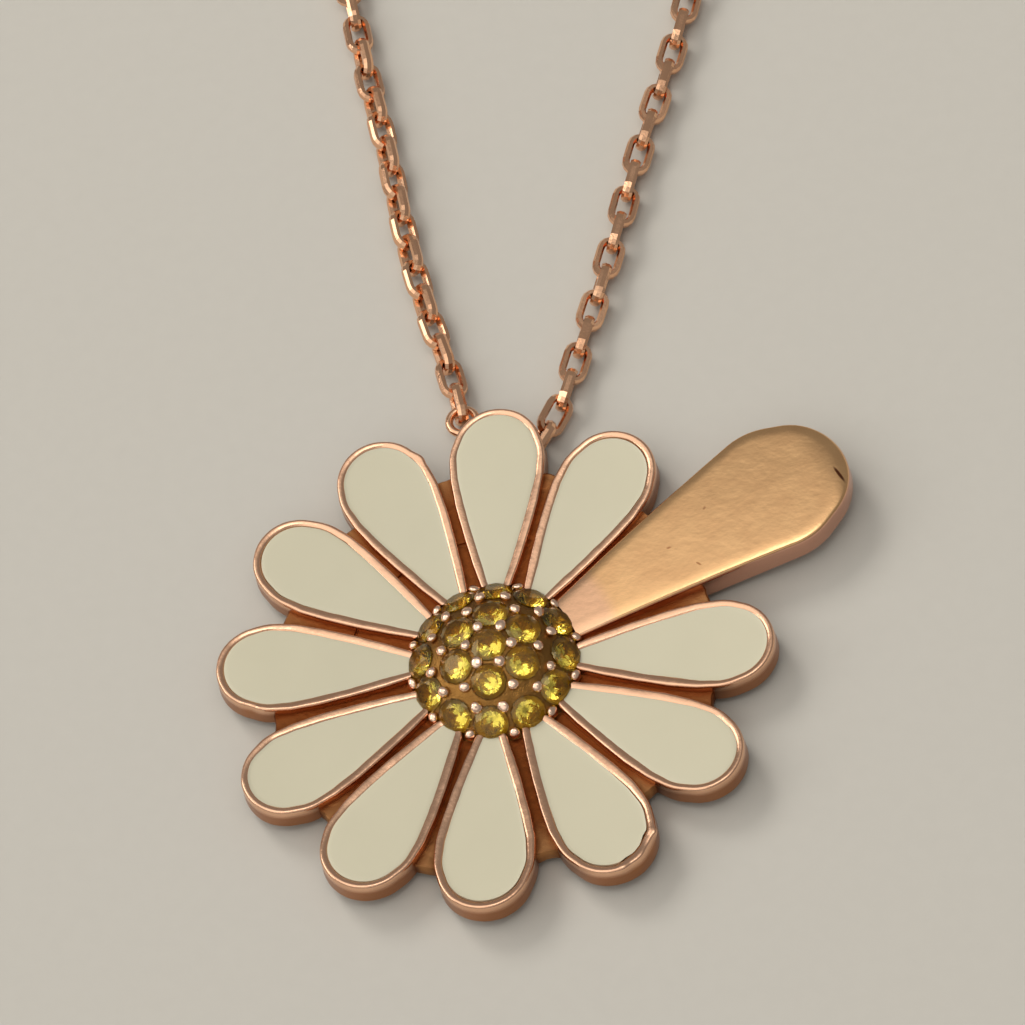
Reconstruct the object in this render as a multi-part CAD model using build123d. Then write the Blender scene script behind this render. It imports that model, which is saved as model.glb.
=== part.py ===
from build123d import *
from math import asin, cos, pi, radians, sin, tan
import os

# A flower pendant on a fine cable chain, in millimetres.
# The origin is the middle of the flower's back, on the surface that the pendant lies on.
# +Z is up through the flower, and +Y points along the top petal towards the chain.

# Petals
petal_count = 12
polished_place = 2  # places are counted clockwise from the top petal
petal_height = 1.05  # thickness of a petal and its rim
dish_angle = 4.3  # the petals rise outwards by this many degrees
enamel_reach = 10.84  # from the flower's axis to the enamel's outer end
enamel_half_width = 1.59
rim_width = 0.31
cup_depth = 0.23
enamel_below_rim = 0.09
enamel_gap = 0.03

# Circles along a petal's axis that its outline wraps. A circle's place is a share of the
# reach less a share of the half width, and its radius is a share of the half width.
enamel_circles = (
    (0.332, 0, 0.20),
    (0.560, 0, 0.63),
    (0.680, 0, 0.835),
    (1, 1.527, 0.97),
    (1, 1.152, 1.00),
    (1, 0.925, 0.925),
)

# One row for each enamelled place: place, turn in degrees, reach as a share of enamel_reach,
# extra width of the rim at its outer end as a share of rim_width
petal_rows = (
    (0, 0.2, 1.002, 0.15),
    (1, 0.2, 0.986, 0.35),
    (3, -0.1, 1.006, 0.15),
    (4, 0.3, 1.011, 0.15),
    (5, 0.5, 0.992, 0.42),
    (6, -0.8, 0.991, 0.40),
    (7, -0.4, 1.012, 0.25),
    (8, 0.6, 1.006, 0.10),
    (9, -0.1, 0.993, 0.25),
    (10, -0.9, 0.993, 0.35),
    (11, 0.0, 1.007, 0.20),
)
flare_beside = 0.7  # how much of that extra width the rim has beside the widest point

# Polished petal
polished_turn = 0.7  # it stands this many degrees off its place
polished_reach = 16.16
polished_half_width = 2.78
polished_circles = (
    (0.212, 0, 0.35),
    (1, 1.134, 1.00),
    (1, 0.91, 0.91),
)
polished_crown = 0.30  # how far the middle stands above the edges
polished_edge_round = 0.12

# Back plate, which shows as a web between the petals
web_radius = 8.9
web_shift = 0.4  # the web's middle lies this far below the flower's, away from the chain
web_height = 0.62
core_radius = 3.55  # foot of the dome, where the dish begins

# Domed centre
dome_radius = 4.4
dome_top = 2.35
stone_width = 1.42
table_share = 0.56
crown_height = 0.20
girdle_height = 0.05
pavilion_height = 0.58
culet_width = 0.10
stone_gap = 0.03
stone_facets = 8
bead_width = 0.48
bead_lift = 0.05  # how far a bead's centre stands above the dome

# Rings of the dome: count, arc from the top, first angle
stone_rings = ((1, 0.0, 0), (6, 1.56, 30), (12, 3.22, 0))
bead_rings = ((6, 0.90, 0), (6, 1.95, 0), (6, 2.60, 18), (6, 2.60, -18), (12, 3.72, 15))

# Cable chain
wire = 0.24  # across the wire, in the plane of a link
wire_height = 0.28  # across the wire, through the link
wire_corners = ((1, 0), (0.5, 1), (-0.5, 1), (-1, 0), (-0.5, -1), (0.5, -1))  # shares of the halves
link_width = 1.18
link_inside = 1.43  # length of the opening
link_play = 0.17  # free way between two links along the chain
bend_sides = 5  # flats in each round end of a link
links_shown = 20
right_roll = 18  # roll of the flatter links of the right chain
right_lean = 20  # extra roll at its first link, which leans to go under the petal
leaning_links = 2
left_first_roll = 16  # rolls of the left chain at both ends of the shown stretch
left_last_roll = -12
left_twist = 36  # extra roll in its middle
route_gap = 0.15

# Eyes on the back of the top petal, and the lugs of the clasp
eye_wire = 0.28
eye_radius = 0.56  # to the middle of the wire
eye_slack = 0.20  # free way of a chain's first link in its eye
solder_bite = 0.10
left_eye_angle = 132  # seen from the middle of the top petal's round end
right_eye_angle = -2.5
right_eye_share = 0.645  # place of the hidden eye between that middle and the petal's edge
pocket_shift = 0.30
pocket_roof = 0.10  # metal between the pocket and the enamel cup

# Clasp
clasp_radius = 2.3
clasp_wire = 0.9
clasp_middle = (0.5, 189.5)
left_lug_angle = 187
right_lug_angle = -7

upper_end = (Align.CENTER, Align.CENTER, Align.MAX)
lower_end = (Align.CENTER, Align.CENTER, Align.MIN)

# Worked out from the values above
chain_height = link_width / 2
link_length = link_inside + 2 * wire
pitch = link_inside - link_play
eye_outside = eye_radius + eye_wire / 2
first_link = eye_radius - eye_wire / 2 - link_play + link_inside / 2 - eye_slack
cup_floor = petal_height - cup_depth
top_tip_radius = enamel_half_width * enamel_circles[-1][2]
top_tip_at = enamel_reach * petal_rows[0][2] - top_tip_radius
top_edge_radius = top_tip_radius + rim_width


def around(middle, radius, angle):
    """A point at an angle, in degrees, around a middle."""
    return (middle[0] + radius * cos(radians(angle)), middle[1] + radius * sin(radians(angle)))


left_eye = around((0, top_tip_at), top_edge_radius + eye_outside - solder_bite, left_eye_angle)
right_eye = around((0, top_tip_at), top_edge_radius * right_eye_share, right_eye_angle)
clasp_lug_at = clasp_radius + clasp_wire / 2 + eye_outside - solder_bite
left_lug = around(clasp_middle, clasp_lug_at, left_lug_angle)
right_lug = around(clasp_middle, clasp_lug_at, right_lug_angle)

# Routes of the chain from the flower to the clasp, chosen by hand
left_route = (
    left_eye,
    (-2.15, 13.5),
    (-3.05, 15.9),
    (-4.20, 19.9),
    (-5.15, 24.6),
    (-6.20, 28.6),
    (-7.20, 33.4),
    (-9.60, 41.0),
    (-12.7, 53.0),
    (-19.7, 72.5),
    (-26.2, 95.0),
    (-34.5, 119.0),
    (-39.4, 141.0),
    (-38.2, 160.0),
    (-29.5, 176.0),
    (-14.5, 186.5),
    left_lug,
)
right_route = (
    right_eye,
    (2.32, 11.2),
    (3.01, 13.8),
    (4.37, 18.8),
    (5.42, 23.5),
    (6.80, 28.2),
    (7.90, 33.2),
    (10.7, 41.0),
    (14.8, 53.5),
    (22.2, 73.0),
    (29.0, 96.0),
    (36.8, 119.5),
    (40.3, 141.0),
    (38.9, 160.5),
    (30.2, 176.0),
    (16.0, 186.8),
    right_lug,
)


def tapered_outline(circles):
    """The outline round circles on the X axis, given as (place, radius), as lines and arcs."""
    slopes = [asin((b[1] - a[1]) / (b[0] - a[0])) for a, b in zip(circles, circles[1:])]

    def point(circle, slope, side):
        return (circle[0] - circle[1] * sin(slope), side * circle[1] * cos(slope))

    edges = [
        ThreePointArc(
            point(circles[0], slopes[0], 1),
            (circles[0][0] - circles[0][1], 0),
            point(circles[0], slopes[0], -1),
        ),
        ThreePointArc(
            point(circles[-1], slopes[-1], 1),
            (circles[-1][0] + circles[-1][1], 0),
            point(circles[-1], slopes[-1], -1),
        ),
    ]
    for side in (1, -1):
        for a, b, slope in zip(circles, circles[1:], slopes):
            edges.append(Line(point(a, slope, side), point(b, slope, side)))
        for circle, before, after in zip(circles[1:-1], slopes, slopes[1:]):
            middle = (before + after) / 2
            edges.append(
                ThreePointArc(
                    point(circle, before, side),
                    point(circle, middle, side),
                    point(circle, after, side),
                )
            )
    return make_face(Wire(edges))


def petal_outline(rows, reach, half_width, margin):
    """A petal's outline from its table of circles, widened all round by a margin."""
    circles = [(ahead * reach - back * half_width, share * half_width) for ahead, back, share in rows]
    return tapered_outline([(place, radius + margin) for place, radius in circles])


def enamel_outline(share, margin):
    """The outline of one enamel field."""
    return petal_outline(enamel_circles, enamel_reach * share, enamel_half_width, margin)


def petal_place(place, turn):
    """Where a petal drawn along +X goes: turned to its place, with its outer end raised."""
    angle = 90 - place * 360 / petal_count + turn
    return Rot(0, 0, angle) * Pos(core_radius, 0, 0) * Rot(0, -dish_angle, 0) * Pos(-core_radius, 0, 0)


def core_cylinder(margin):
    """The upright cylinder that the petals meet at the dome's foot."""
    return Cylinder(core_radius + margin, 4 * petal_height)


def petal_cup(place, turn, share, flare):
    """One petal with a raised rim round its enamel cup."""
    extra = flare * rim_width
    rim_half_width = enamel_half_width + flare_beside * extra
    rim_outline = petal_outline(enamel_circles, enamel_reach * share + extra, rim_half_width, rim_width)
    block = extrude(rim_outline, petal_height)
    cup = extrude(Pos(0, 0, cup_floor) * enamel_outline(share, enamel_gap), petal_height)
    return petal_place(place, turn) * (block - cup) - core_cylinder(0)


def petal_enamel(place, turn, share):
    """The enamel that fills one cup, clear of its floor, its rim and the dome."""
    bottom = cup_floor + enamel_gap
    field = Pos(0, 0, bottom) * enamel_outline(share, 0)
    fill = extrude(field, petal_height - enamel_below_rim - bottom)
    return petal_place(place, turn) * fill - core_cylinder(enamel_gap)


def polished_petal():
    """The long plain petal, with a crowned top and a rounded upper edge."""
    outline = petal_outline(polished_circles, polished_reach, polished_half_width, 0)
    block = extrude(outline, petal_height + 2 * polished_crown)
    crown_radius = (polished_half_width**2 + polished_crown**2) / (2 * polished_crown)
    crown = Cylinder(crown_radius, 4 * polished_reach, rotation=(0, 90, 0))
    body = block & (Pos(0, 0, petal_height + polished_crown - crown_radius) * crown)
    top_face = body.faces().sort_by(Axis.Z)[-1]
    body = fillet(top_face.edges(), polished_edge_round)
    return petal_place(polished_place, polished_turn) * body - core_cylinder(0)


def back_plate():
    """The web: a disc that is flat under the dome and rises outwards with the petals."""
    rise = (web_radius - core_radius) * tan(radians(dish_angle))
    section = Polyline(
        (0, 0),
        (core_radius, 0),
        (web_radius, rise),
        (web_radius, rise + web_height),
        (core_radius, web_height),
        (0, web_height),
        close=True,
    )
    return Pos(0, -web_shift, 0) * revolve(Plane.XZ * make_face(section), Axis.Z)


def dome_places(rings, lift):
    """Places on the dome with +Z outwards, for rings of (count, arc from the top, first angle)."""
    places = []
    for count, arc, first in rings:
        for index in range(count):
            turn = Rot(0, 0, first + index * 360 / count)
            tip = Rot(0, arc / dome_radius * 180 / pi, 0)
            places.append(Pos(0, 0, dome_top - dome_radius) * turn * tip * Pos(0, 0, dome_radius + lift))
    return places


def stone_shape():
    """A round stone with its girdle at Z = 0: table, crown, girdle, pavilion and small culet."""
    half = stone_width / 2
    girdle = RegularPolygon(half, stone_facets)
    table = Pos(0, 0, crown_height) * RegularPolygon(half * table_share, stone_facets)
    culet = Pos(0, 0, -girdle_height - pavilion_height) * RegularPolygon(culet_width / 2, stone_facets)
    crown = loft([girdle.face(), table.face()], ruled=True)
    band = extrude(girdle, -girdle_height)
    pavilion = loft([(Pos(0, 0, -girdle_height) * girdle).face(), culet.face()], ruled=True)
    return crown + band + pavilion


def stone_seat():
    """The room that a stone takes, with its clearance on every side."""
    half = stone_width / 2 + stone_gap
    top = crown_height + stone_gap
    section = Polyline(
        (0, top),
        (half * table_share, top),
        (half, stone_gap),
        (half, -girdle_height - stone_gap),
        (culet_width / 2 + stone_gap, -girdle_height - pavilion_height - stone_gap),
        (0, -girdle_height - pavilion_height - stone_gap),
        close=True,
    )
    return revolve(Plane.XZ * make_face(section), Axis.Z)


def dome():
    """The domed centre with its beads, and a seat for each stone."""
    ball = Pos(0, 0, dome_top - dome_radius) * Sphere(dome_radius)
    body = Cylinder(core_radius, dome_top, align=lower_end) & ball
    for place in dome_places(bead_rings, bead_lift):
        body += place * Sphere(bead_width / 2)
    for place in dome_places(stone_rings, 0):
        body -= place * stone_seat()
    return body


def eye(at):
    """A small flat ring that a link hooks."""
    return Pos(at[0], at[1], chain_height) * Torus(eye_radius, eye_wire / 2)


def eye_pocket():
    """The pocket under the top petal in which the right eye and its link sit."""
    first = Vector(*right_route[1]) - Vector(*right_eye)
    middle = Vector(*right_eye) + first.normalized() * pocket_shift
    radius = eye_outside + pocket_shift - solder_bite
    roof = cup_floor - pocket_roof
    room = Pos(middle.Y, -middle.X, roof) * Cylinder(radius, 4 * petal_height, align=upper_end)
    return petal_place(0, 0) * room


def flower_body():
    """Plate, cups, polished petal, dome and eyes, soldered into one with a flat back."""
    body = back_plate() + [petal_cup(*row) for row in petal_rows]
    body = body - eye_pocket() + polished_petal() + dome()
    body = split(body, Plane.XY, keep=Keep.TOP)
    return body + eye(left_eye) + eye(right_eye)


def route_wire(points):
    """A route as straight runs joined by tangent arcs, with the radii of the arcs."""
    corners = [Vector(x, y, chain_height) for x, y in points]
    radii = []
    for before, here, after in zip(corners, corners[1:], corners[2:]):
        turn = (here - before).get_angle(after - here)
        shorter = min((here - before).length, (after - here).length)
        radii.append(0.45 * shorter / tan(radians(turn / 2)))
    return FilletPolyline(*corners, radius=radii), radii


def link_shape():
    """One link in the XY plane, long in X, as a faceted closed wire."""
    bend = (link_width - wire) / 2
    straight = (link_length - link_width) / 2
    path = []
    for side in (1, -1):
        for step in range(bend_sides + 1):
            angle = -90 + step * 180 / bend_sides
            path.append(((side * straight, 0), angle if side == 1 else angle + 180))
    rings = []
    for (middle, angle), (mitre, stretch) in zip(path, link_mitres()):
        base = around(middle, bend, angle)
        rings.append(
            [
                Vector(*around(base, out * wire / 2 * stretch, mitre), up * wire_height / 2)
                for out, up in wire_corners
            ]
        )
    faces = []
    for here, after in zip(rings, rings[1:] + rings[:1]):
        for side in range(len(wire_corners)):
            beside = (side + 1) % len(wire_corners)
            corners = (here[side], here[beside], after[beside], after[side])
            faces.append(Face(Wire.make_polygon(corners, close=True)))
    return Solid(Shell(faces))


def link_mitres():
    """The direction and stretch of the section at each corner of a link."""
    step = 180 / bend_sides
    mitres = []
    for start in (-90, 90):
        for index in range(bend_sides + 1):
            inward = step / 4 if index == 0 else -step / 4 if index == bend_sides else 0
            half_turn = step / 4 if inward else step / 2
            mitres.append((start + index * step + inward, 1 / cos(radians(half_turn))))
    return mitres


def chain_links(route, rolls):
    """Links along the first part of a route, one for each roll, hooked into each other."""
    link = link_shape()
    links = []
    for index, roll in enumerate(rolls):
        at = first_link + index * pitch
        along = route.tangent_at(at, position_mode=PositionMode.LENGTH)
        place = Plane(route.position_at(at, position_mode=PositionMode.LENGTH), x_dir=along, z_dir=(0, 0, 1))
        links.append(place.location * Rot(roll, 0, 0) * link)
    return Compound(children=links)


def chain_tube(route, name):
    """The rest of a route as a plain tube as thick as a link is wide, up to the clasp's lug."""
    start = first_link + (links_shown - 1) * pitch + link_length / 2 + route_gap
    end = route.length - eye_outside - route_gap
    path = route.trim(start / route.length, end / route.length)
    section = Plane(path @ 0, z_dir=path % 0) * Circle(link_width / 2)
    tube = sweep(section, path=path)
    print(name, "volume", round(tube.volume, 2), "section x length", round(section.area * path.length, 2))
    return tube


def clasp():
    """A plain closed ring with two soldered lugs."""
    ring = Pos(*clasp_middle, chain_height) * Torus(clasp_radius, clasp_wire / 2)
    return ring + eye(left_lug) + eye(right_lug)


def build():
    """All nodes by name."""
    nodes = {"flower_body": flower_body(), "clasp": clasp()}
    for number, row in enumerate(petal_rows, 1):
        nodes[f"enamel_{number:02d}"] = petal_enamel(*row[:3])
    stone = stone_shape()
    for number, place in enumerate(dome_places(stone_rings, 0), 1):
        nodes[f"stone_{number:02d}"] = place * stone
    left_rolls, right_rolls = [], []
    for index in range(links_shown):
        standing = 90 * ((index + 1) % 2)
        share = index / (links_shown - 1)
        between = left_first_roll + share * (left_last_roll - left_first_roll)
        left_rolls.append(standing + between + left_twist * sin(pi * share))
        right_rolls.append(standing + right_roll + right_lean * max(0, 1 - index / leaning_links))
    for side, points, rolls in (("left", left_route, left_rolls), ("right", right_route, right_rolls)):
        route, radii = route_wire(points)
        print(side, "route", round(route.length, 1), "mm, radii", [round(radius, 1) for radius in radii])
        nodes[f"chain_{side}_links"] = chain_links(route, rolls)
        nodes[f"chain_{side}_back"] = chain_tube(route, f"chain_{side}_back")
    return nodes


os.makedirs("parts", exist_ok=True)
for node, shape in build().items():
    export_step(shape, f"parts/{node}.step")
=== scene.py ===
# %% [markdown]
# # A flower pendant on a fine chain
# This lesson dresses a packed necklace: eleven enamelled petals and one long polished petal
# round a dome of small stones, on a cable chain. The frame holds the true sizes and places.
# Each piece here is modelled in metres where the frame has it, and never moves it.

# %% Load the frame
from bisect import bisect_right
from math import atan2, cos, degrees, pi, radians, sin, sqrt, tan

import bpy
from mathutils import Matrix, Vector, kdtree, noise


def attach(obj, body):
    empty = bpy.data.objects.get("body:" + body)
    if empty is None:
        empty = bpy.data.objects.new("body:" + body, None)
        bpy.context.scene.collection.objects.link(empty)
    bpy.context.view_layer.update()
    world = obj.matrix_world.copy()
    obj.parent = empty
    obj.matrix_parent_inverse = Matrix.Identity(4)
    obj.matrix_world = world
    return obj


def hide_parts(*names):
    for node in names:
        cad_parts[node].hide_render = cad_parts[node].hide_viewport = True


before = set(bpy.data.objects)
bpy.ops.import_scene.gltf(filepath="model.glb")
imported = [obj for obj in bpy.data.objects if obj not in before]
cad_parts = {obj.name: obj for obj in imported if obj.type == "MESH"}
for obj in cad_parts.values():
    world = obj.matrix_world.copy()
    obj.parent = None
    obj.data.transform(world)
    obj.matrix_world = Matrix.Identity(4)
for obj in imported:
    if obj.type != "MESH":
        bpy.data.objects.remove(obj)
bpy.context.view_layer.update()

mm = 0.001

# %% [markdown]
# ## The camera
# The pendant lies on a table and is seen from its lower side, about 30 degrees off the
# vertical, with the camera turned a little. A long lens from close by gives the photo's mild
# perspective. The camera comes first, because every later choice is judged through it.

# %% Set up the camera
camera_data = bpy.data.cameras.new("camera")
camera_data.sensor_width = 36
camera_data.lens = 210.73
camera_data.clip_start = 1 * mm
camera = bpy.data.objects.new("camera", camera_data)
camera.location = Vector((35.665, -109.816, 206.649)) * mm
camera.rotation_mode = "QUATERNION"
camera.rotation_quaternion = (0.9645, 0.2518, 0.0786, -0.0096)
bpy.context.scene.collection.objects.link(camera)
bpy.context.scene.camera = camera
print("camera stands", round(camera.location.length / mm), "mm from the flower")

# %% [markdown]
# ## Helpers for working as by hand
# Operators act on whatever is selected, so each new piece starts from an empty selection.
# A finished piece gets its place in its mesh, rides on the one body of the frame, takes a
# material and hides the frame nodes that it stands for.


# %% Selection, cutting and finishing
def deselect():
    """Leave edit mode and select nothing."""
    if bpy.context.object and bpy.context.object.mode == "EDIT":
        bpy.ops.object.mode_set(mode="OBJECT")
    bpy.ops.object.select_all(action="DESELECT")


def pick(*pieces):
    """Select these pieces alone. The first one is active."""
    deselect()
    for piece in pieces:
        piece.select_set(True)
    bpy.context.view_layer.objects.active = pieces[0]


def select_faces(piece, wanted):
    """In edit mode, select the faces for which wanted(face) is true."""
    bpy.ops.mesh.select_all(action="DESELECT")
    bpy.ops.object.mode_set(mode="OBJECT")
    for face in piece.data.polygons:
        face.select = wanted(face)
    bpy.ops.object.mode_set(mode="EDIT")


def turn_faces_out():
    """Turn all faces outwards and leave edit mode."""
    bpy.ops.mesh.select_all(action="SELECT")
    bpy.ops.mesh.normals_make_consistent(inside=False)
    bpy.ops.object.mode_set(mode="OBJECT")


def cut_away(piece, cutter, overlapping=False):
    """Cut a cutter out of a piece and remove it. Parts of the cutter may overlap."""
    cut = piece.modifiers.new("cut", "BOOLEAN")
    cut.operation = "DIFFERENCE"
    cut.solver = "EXACT"
    cut.use_self = overlapping
    cut.object = cutter
    pick(piece)
    bpy.ops.object.modifier_apply(modifier=cut.name)
    bpy.data.objects.remove(cutter)


def set_place(piece, matrix):
    """Put the piece's place into its mesh."""
    pick(piece)
    piece.matrix_world = matrix
    bpy.ops.object.transform_apply(location=True, rotation=True, scale=True)


def join(name, pieces):
    """Join pieces into one object with one name."""
    pick(*pieces)
    if len(pieces) > 1:
        bpy.ops.object.join()
    bpy.context.object.name = name
    bpy.context.object.data.name = name
    return bpy.context.object


def clamp(value):
    """The value, kept between 0 and 1."""
    return min(max(value, 0), 1)


def work_by_hand(piece, size, amount):
    """Move the surface in and out in slow waves, as hand tools leave it, and keep it off the floor."""
    for vertex in piece.data.vertices:
        wave = noise.noise(vertex.co / size) + 0.4 * noise.noise(vertex.co * 2.7 / size)
        vertex.co += vertex.normal * wave * amount
        vertex.co.z = max(vertex.co.z, 0)


def smooth(piece, angle=35):
    """Smooth shading, with edges sharper than the angle kept."""
    pick(piece)
    bpy.ops.object.shade_smooth_by_angle(angle=radians(angle))


def dress(piece, material, slot, *nodes):
    """Give a finished piece its material and body, and hide the nodes that it replaces. The slot is not
    used.
    """
    piece.data.materials.clear()
    piece.data.materials.append(material)
    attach(piece, "root")
    if nodes:
        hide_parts(*nodes)


print("frame nodes", len(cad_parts))

# %% [markdown]
# ## Node groups that several finishes share
# Worn metal differs from place to place in two ways: its polish and its colour. One group
# makes each, from noise on Object coordinates, and every metal uses both with its own values.
# A third one masks by height above the shallow dish that the petals stand on, for the painted
# shade low down, so the sizes of the dish and the dome come first. A group puts out only values
# and colours. The shader stays in the material.

# %% Sizes of the dish and the dome
core_radius = 3.55 * mm  # the petals and their plate rise outwards from here
dish_angle = 4.3
dish_slope = tan(radians(dish_angle))
dome_radius = 4.4 * mm
dome_top = 2.35 * mm
dome_middle = (0, 0, dome_top - dome_radius)
print("dish", dish_angle, "degrees, dome", round(dome_top / mm, 2), "mm high")


# %% Build the groups
def new_group(name, inputs, outputs):
    """A node group with sockets given as (name, kind, default) and (name, kind)."""
    group = bpy.data.node_groups.new(name, "ShaderNodeTree")
    for socket_name, kind, default in inputs:
        socket = group.interface.new_socket(name=socket_name, in_out="INPUT", socket_type=kind)
        socket.default_value = default
    for socket_name, kind in outputs:
        group.interface.new_socket(name=socket_name, in_out="OUTPUT", socket_type=kind)
    return group, group.nodes.new("NodeGroupInput"), group.nodes.new("NodeGroupOutput")


def connect(tree, socket, value):
    """Link an input to another node's output, or give it a plain value. Colours have three."""
    if isinstance(value, bpy.types.NodeSocket):
        tree.links.new(value, socket)
    else:
        socket.default_value = (*value, 1) if socket.type == "RGBA" else value


def feed(tree, node, **inputs):
    """Connect a node's inputs by name, with a low line for each space in the name."""
    for name, value in inputs.items():
        connect(tree, node.inputs[name.replace("_", " ")], value)
    return node


def add_node(tree, kind, **inputs):
    """A new node of a kind, with some of its inputs connected by name."""
    return feed(tree, tree.nodes.new("ShaderNode" + kind), **inputs)


def math_node(tree, operation, *values, kind="Math", output=0):
    """The result of an operation on numbers or sockets."""
    made = add_node(tree, kind)
    made.operation = operation
    for socket, value in zip(made.inputs, values):
        connect(tree, socket, value)
    return made.outputs[output]


def fade(tree, value, low, high, amount=1.0):
    """A smooth step from 0 to an amount, as a value goes from low to high."""
    made = add_node(tree, "MapRange", Value=value, From_Min=low, From_Max=high, To_Max=amount)
    made.interpolation_type = "SMOOTHSTEP"
    return made.outputs["Result"]


def mix_colours(tree, factor, first, second):
    """A mix of two colours, given as sockets or as red, green and blue."""
    made = add_node(tree, "Mix", Factor=factor)
    made.data_type = "RGBA"
    connect(tree, made.inputs[6], first)
    connect(tree, made.inputs[7], second)
    return made.outputs[2]


FLOAT, COLOR, VECTOR = "NodeSocketFloat", "NodeSocketColor", "NodeSocketVector"
fine_scale, fine_share = 9.0, 0.25  # the finer marks, beside the broad ones

polish, given, out = new_group(
    "uneven polish",
    [("Vector", VECTOR, (0, 0, 0)), ("Roughness", FLOAT, 0.2), ("Spread", FLOAT, 0.1),
     ("Size", FLOAT, 900.0)],
    [("Roughness", FLOAT), ("Height", FLOAT)],
)
place, size = given.outputs["Vector"], given.outputs["Size"]
fine_size = math_node(polish, "MULTIPLY", size, fine_scale)
broad = add_node(polish, "TexNoise", Vector=place, Scale=size, Detail=3.0).outputs["Fac"]
fine = add_node(polish, "TexNoise", Vector=place, Scale=fine_size, Detail=2.0).outputs["Fac"]
swing = math_node(polish, "MULTIPLY", math_node(polish, "SUBTRACT", broad, 0.5), given.outputs["Spread"])
rough = math_node(polish, "ADD", given.outputs["Roughness"], swing)
feed(polish, out, Roughness=rough, Height=math_node(polish, "MULTIPLY_ADD", fine, fine_share, broad))

tint, given, out = new_group(
    "uneven colour",
    [("Vector", VECTOR, (0, 0, 0)), ("Clean", COLOR, (1, 1, 1, 1)), ("Dull", COLOR, (0.5, 0.5, 0.5, 1)),
     ("Amount", FLOAT, 0.5), ("Size", FLOAT, 500.0)],
    [("Color", COLOR)],
)
place, size = given.outputs["Vector"], given.outputs["Size"]
patches = add_node(tint, "TexNoise", Vector=place, Scale=size, Detail=4.0).outputs["Fac"]
share = math_node(tint, "MULTIPLY", patches, given.outputs["Amount"])
feed(tint, out, Color=mix_colours(tint, share, given.outputs["Clean"], given.outputs["Dull"]))

dish, given, out = new_group(
    "height on the dish",
    [("Vector", VECTOR, (0, 0, 0)), ("Low", FLOAT, 0.55), ("High", FLOAT, 0.85)],
    [("Mask", FLOAT)],
)
place = given.outputs["Vector"]
height = add_node(dish, "SeparateXYZ", Vector=place).outputs["Z"]
flat = math_node(dish, "MULTIPLY", place, (1, 1, 0), kind="VectorMath")
reach = math_node(dish, "LENGTH", flat, kind="VectorMath", output="Value")
beyond = math_node(dish, "MAXIMUM", math_node(dish, "SUBTRACT", reach, core_radius), 0.0)
risen = math_node(dish, "MULTIPLY", beyond, dish_slope)
above = math_node(dish, "MULTIPLY", math_node(dish, "SUBTRACT", height, risen), 1 / mm)
feed(dish, out, Mask=fade(dish, above, given.outputs["Low"], given.outputs["High"]))
print("groups", [group.name for group in bpy.data.node_groups])

# %% [markdown]
# ## The metal finishes
# All the metal is rose gold, a copper-rich alloy, in a few finishes: bright rims over darker
# walls, dull grooves, a satin long petal and a drawn chain. Worn jewellery is polished where it
# is rubbed and stays dark where no cloth reaches. The walls' darker colour low down is partly
# that tarnish and partly painted shade, and a mask by height above the dish blends the two.

# %% Make a metal
# Heights above the dish between which the painted shade low down fades out.
dark_below, bright_above = 0.50, 0.86  # heights above the dish in mm
low_roughness = 0.12  # how much rougher the low parts are
colour_amount = 0.7
bump_depth = 0.03 * mm


def new_material(name):
    """An empty node material with its shader and an Object coordinate."""
    material = bpy.data.materials.new(name)
    material.use_nodes = True
    tree = material.node_tree
    shader = tree.nodes["Principled BSDF"]
    return material, tree, shader, add_node(tree, "TexCoord").outputs["Object"]


def use_group(tree, group, place, **values):
    """A group node read at a place, with its other inputs connected by name."""
    made = add_node(tree, "Group")
    made.node_tree = group
    return feed(tree, made, Vector=place, **values)


def bump_node(tree, height, strength, distance):
    """A bump from a height."""
    return add_node(tree, "Bump", Height=height, Strength=strength, Distance=distance).outputs["Normal"]


def metal(
    name, clean, dull, roughness, spread, size, bump, stretch=(1, 1, 1), turn=0, deep=None, patch=0.4,
):
    """A rose gold finish. Stretch and turn draw its marks out, and deep is its colour low down, a painted
    shade that is partly tarnish.

    Size is the scale of the noise that makes the marks, and patch that of the colour's as a share.
    """
    material, tree, shader, place = new_material(name)
    drawn = add_node(tree, "Mapping", Vector=place, Scale=stretch, Rotation=(0, 0, radians(turn)))
    marks = use_group(tree, polish, drawn.outputs[0], Roughness=roughness, Spread=spread, Size=size)
    patches = use_group(tree, tint, place, Clean=clean, Dull=dull, Amount=colour_amount, Size=size * patch)
    colour, rough = patches.outputs["Color"], marks.outputs["Roughness"]
    # A darker colour low down: painted shade, partly tarnish.
    if deep:
        mask = use_group(tree, dish, place, Low=dark_below, High=bright_above).outputs["Mask"]
        colour = mix_colours(tree, mask, deep, colour)
        low_share = math_node(tree, "SUBTRACT", 1.0, mask)
        rough = math_node(tree, "MULTIPLY_ADD", low_share, low_roughness, rough)
    normal = bump_node(tree, marks.outputs["Height"], bump, bump_depth)
    feed(tree, shader, Metallic=1, Base_Color=colour, Roughness=rough, Normal=normal)
    return material


# The rims' deep colour is painted shade on the low walls, partly tarnish.
rim_gold = metal(
    "rim gold", (0.90, 0.56, 0.37), (0.74, 0.40, 0.24), roughness=0.20, spread=0.16, size=800, bump=0.8,
    deep=(0.42, 0.185, 0.085),
)
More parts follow.
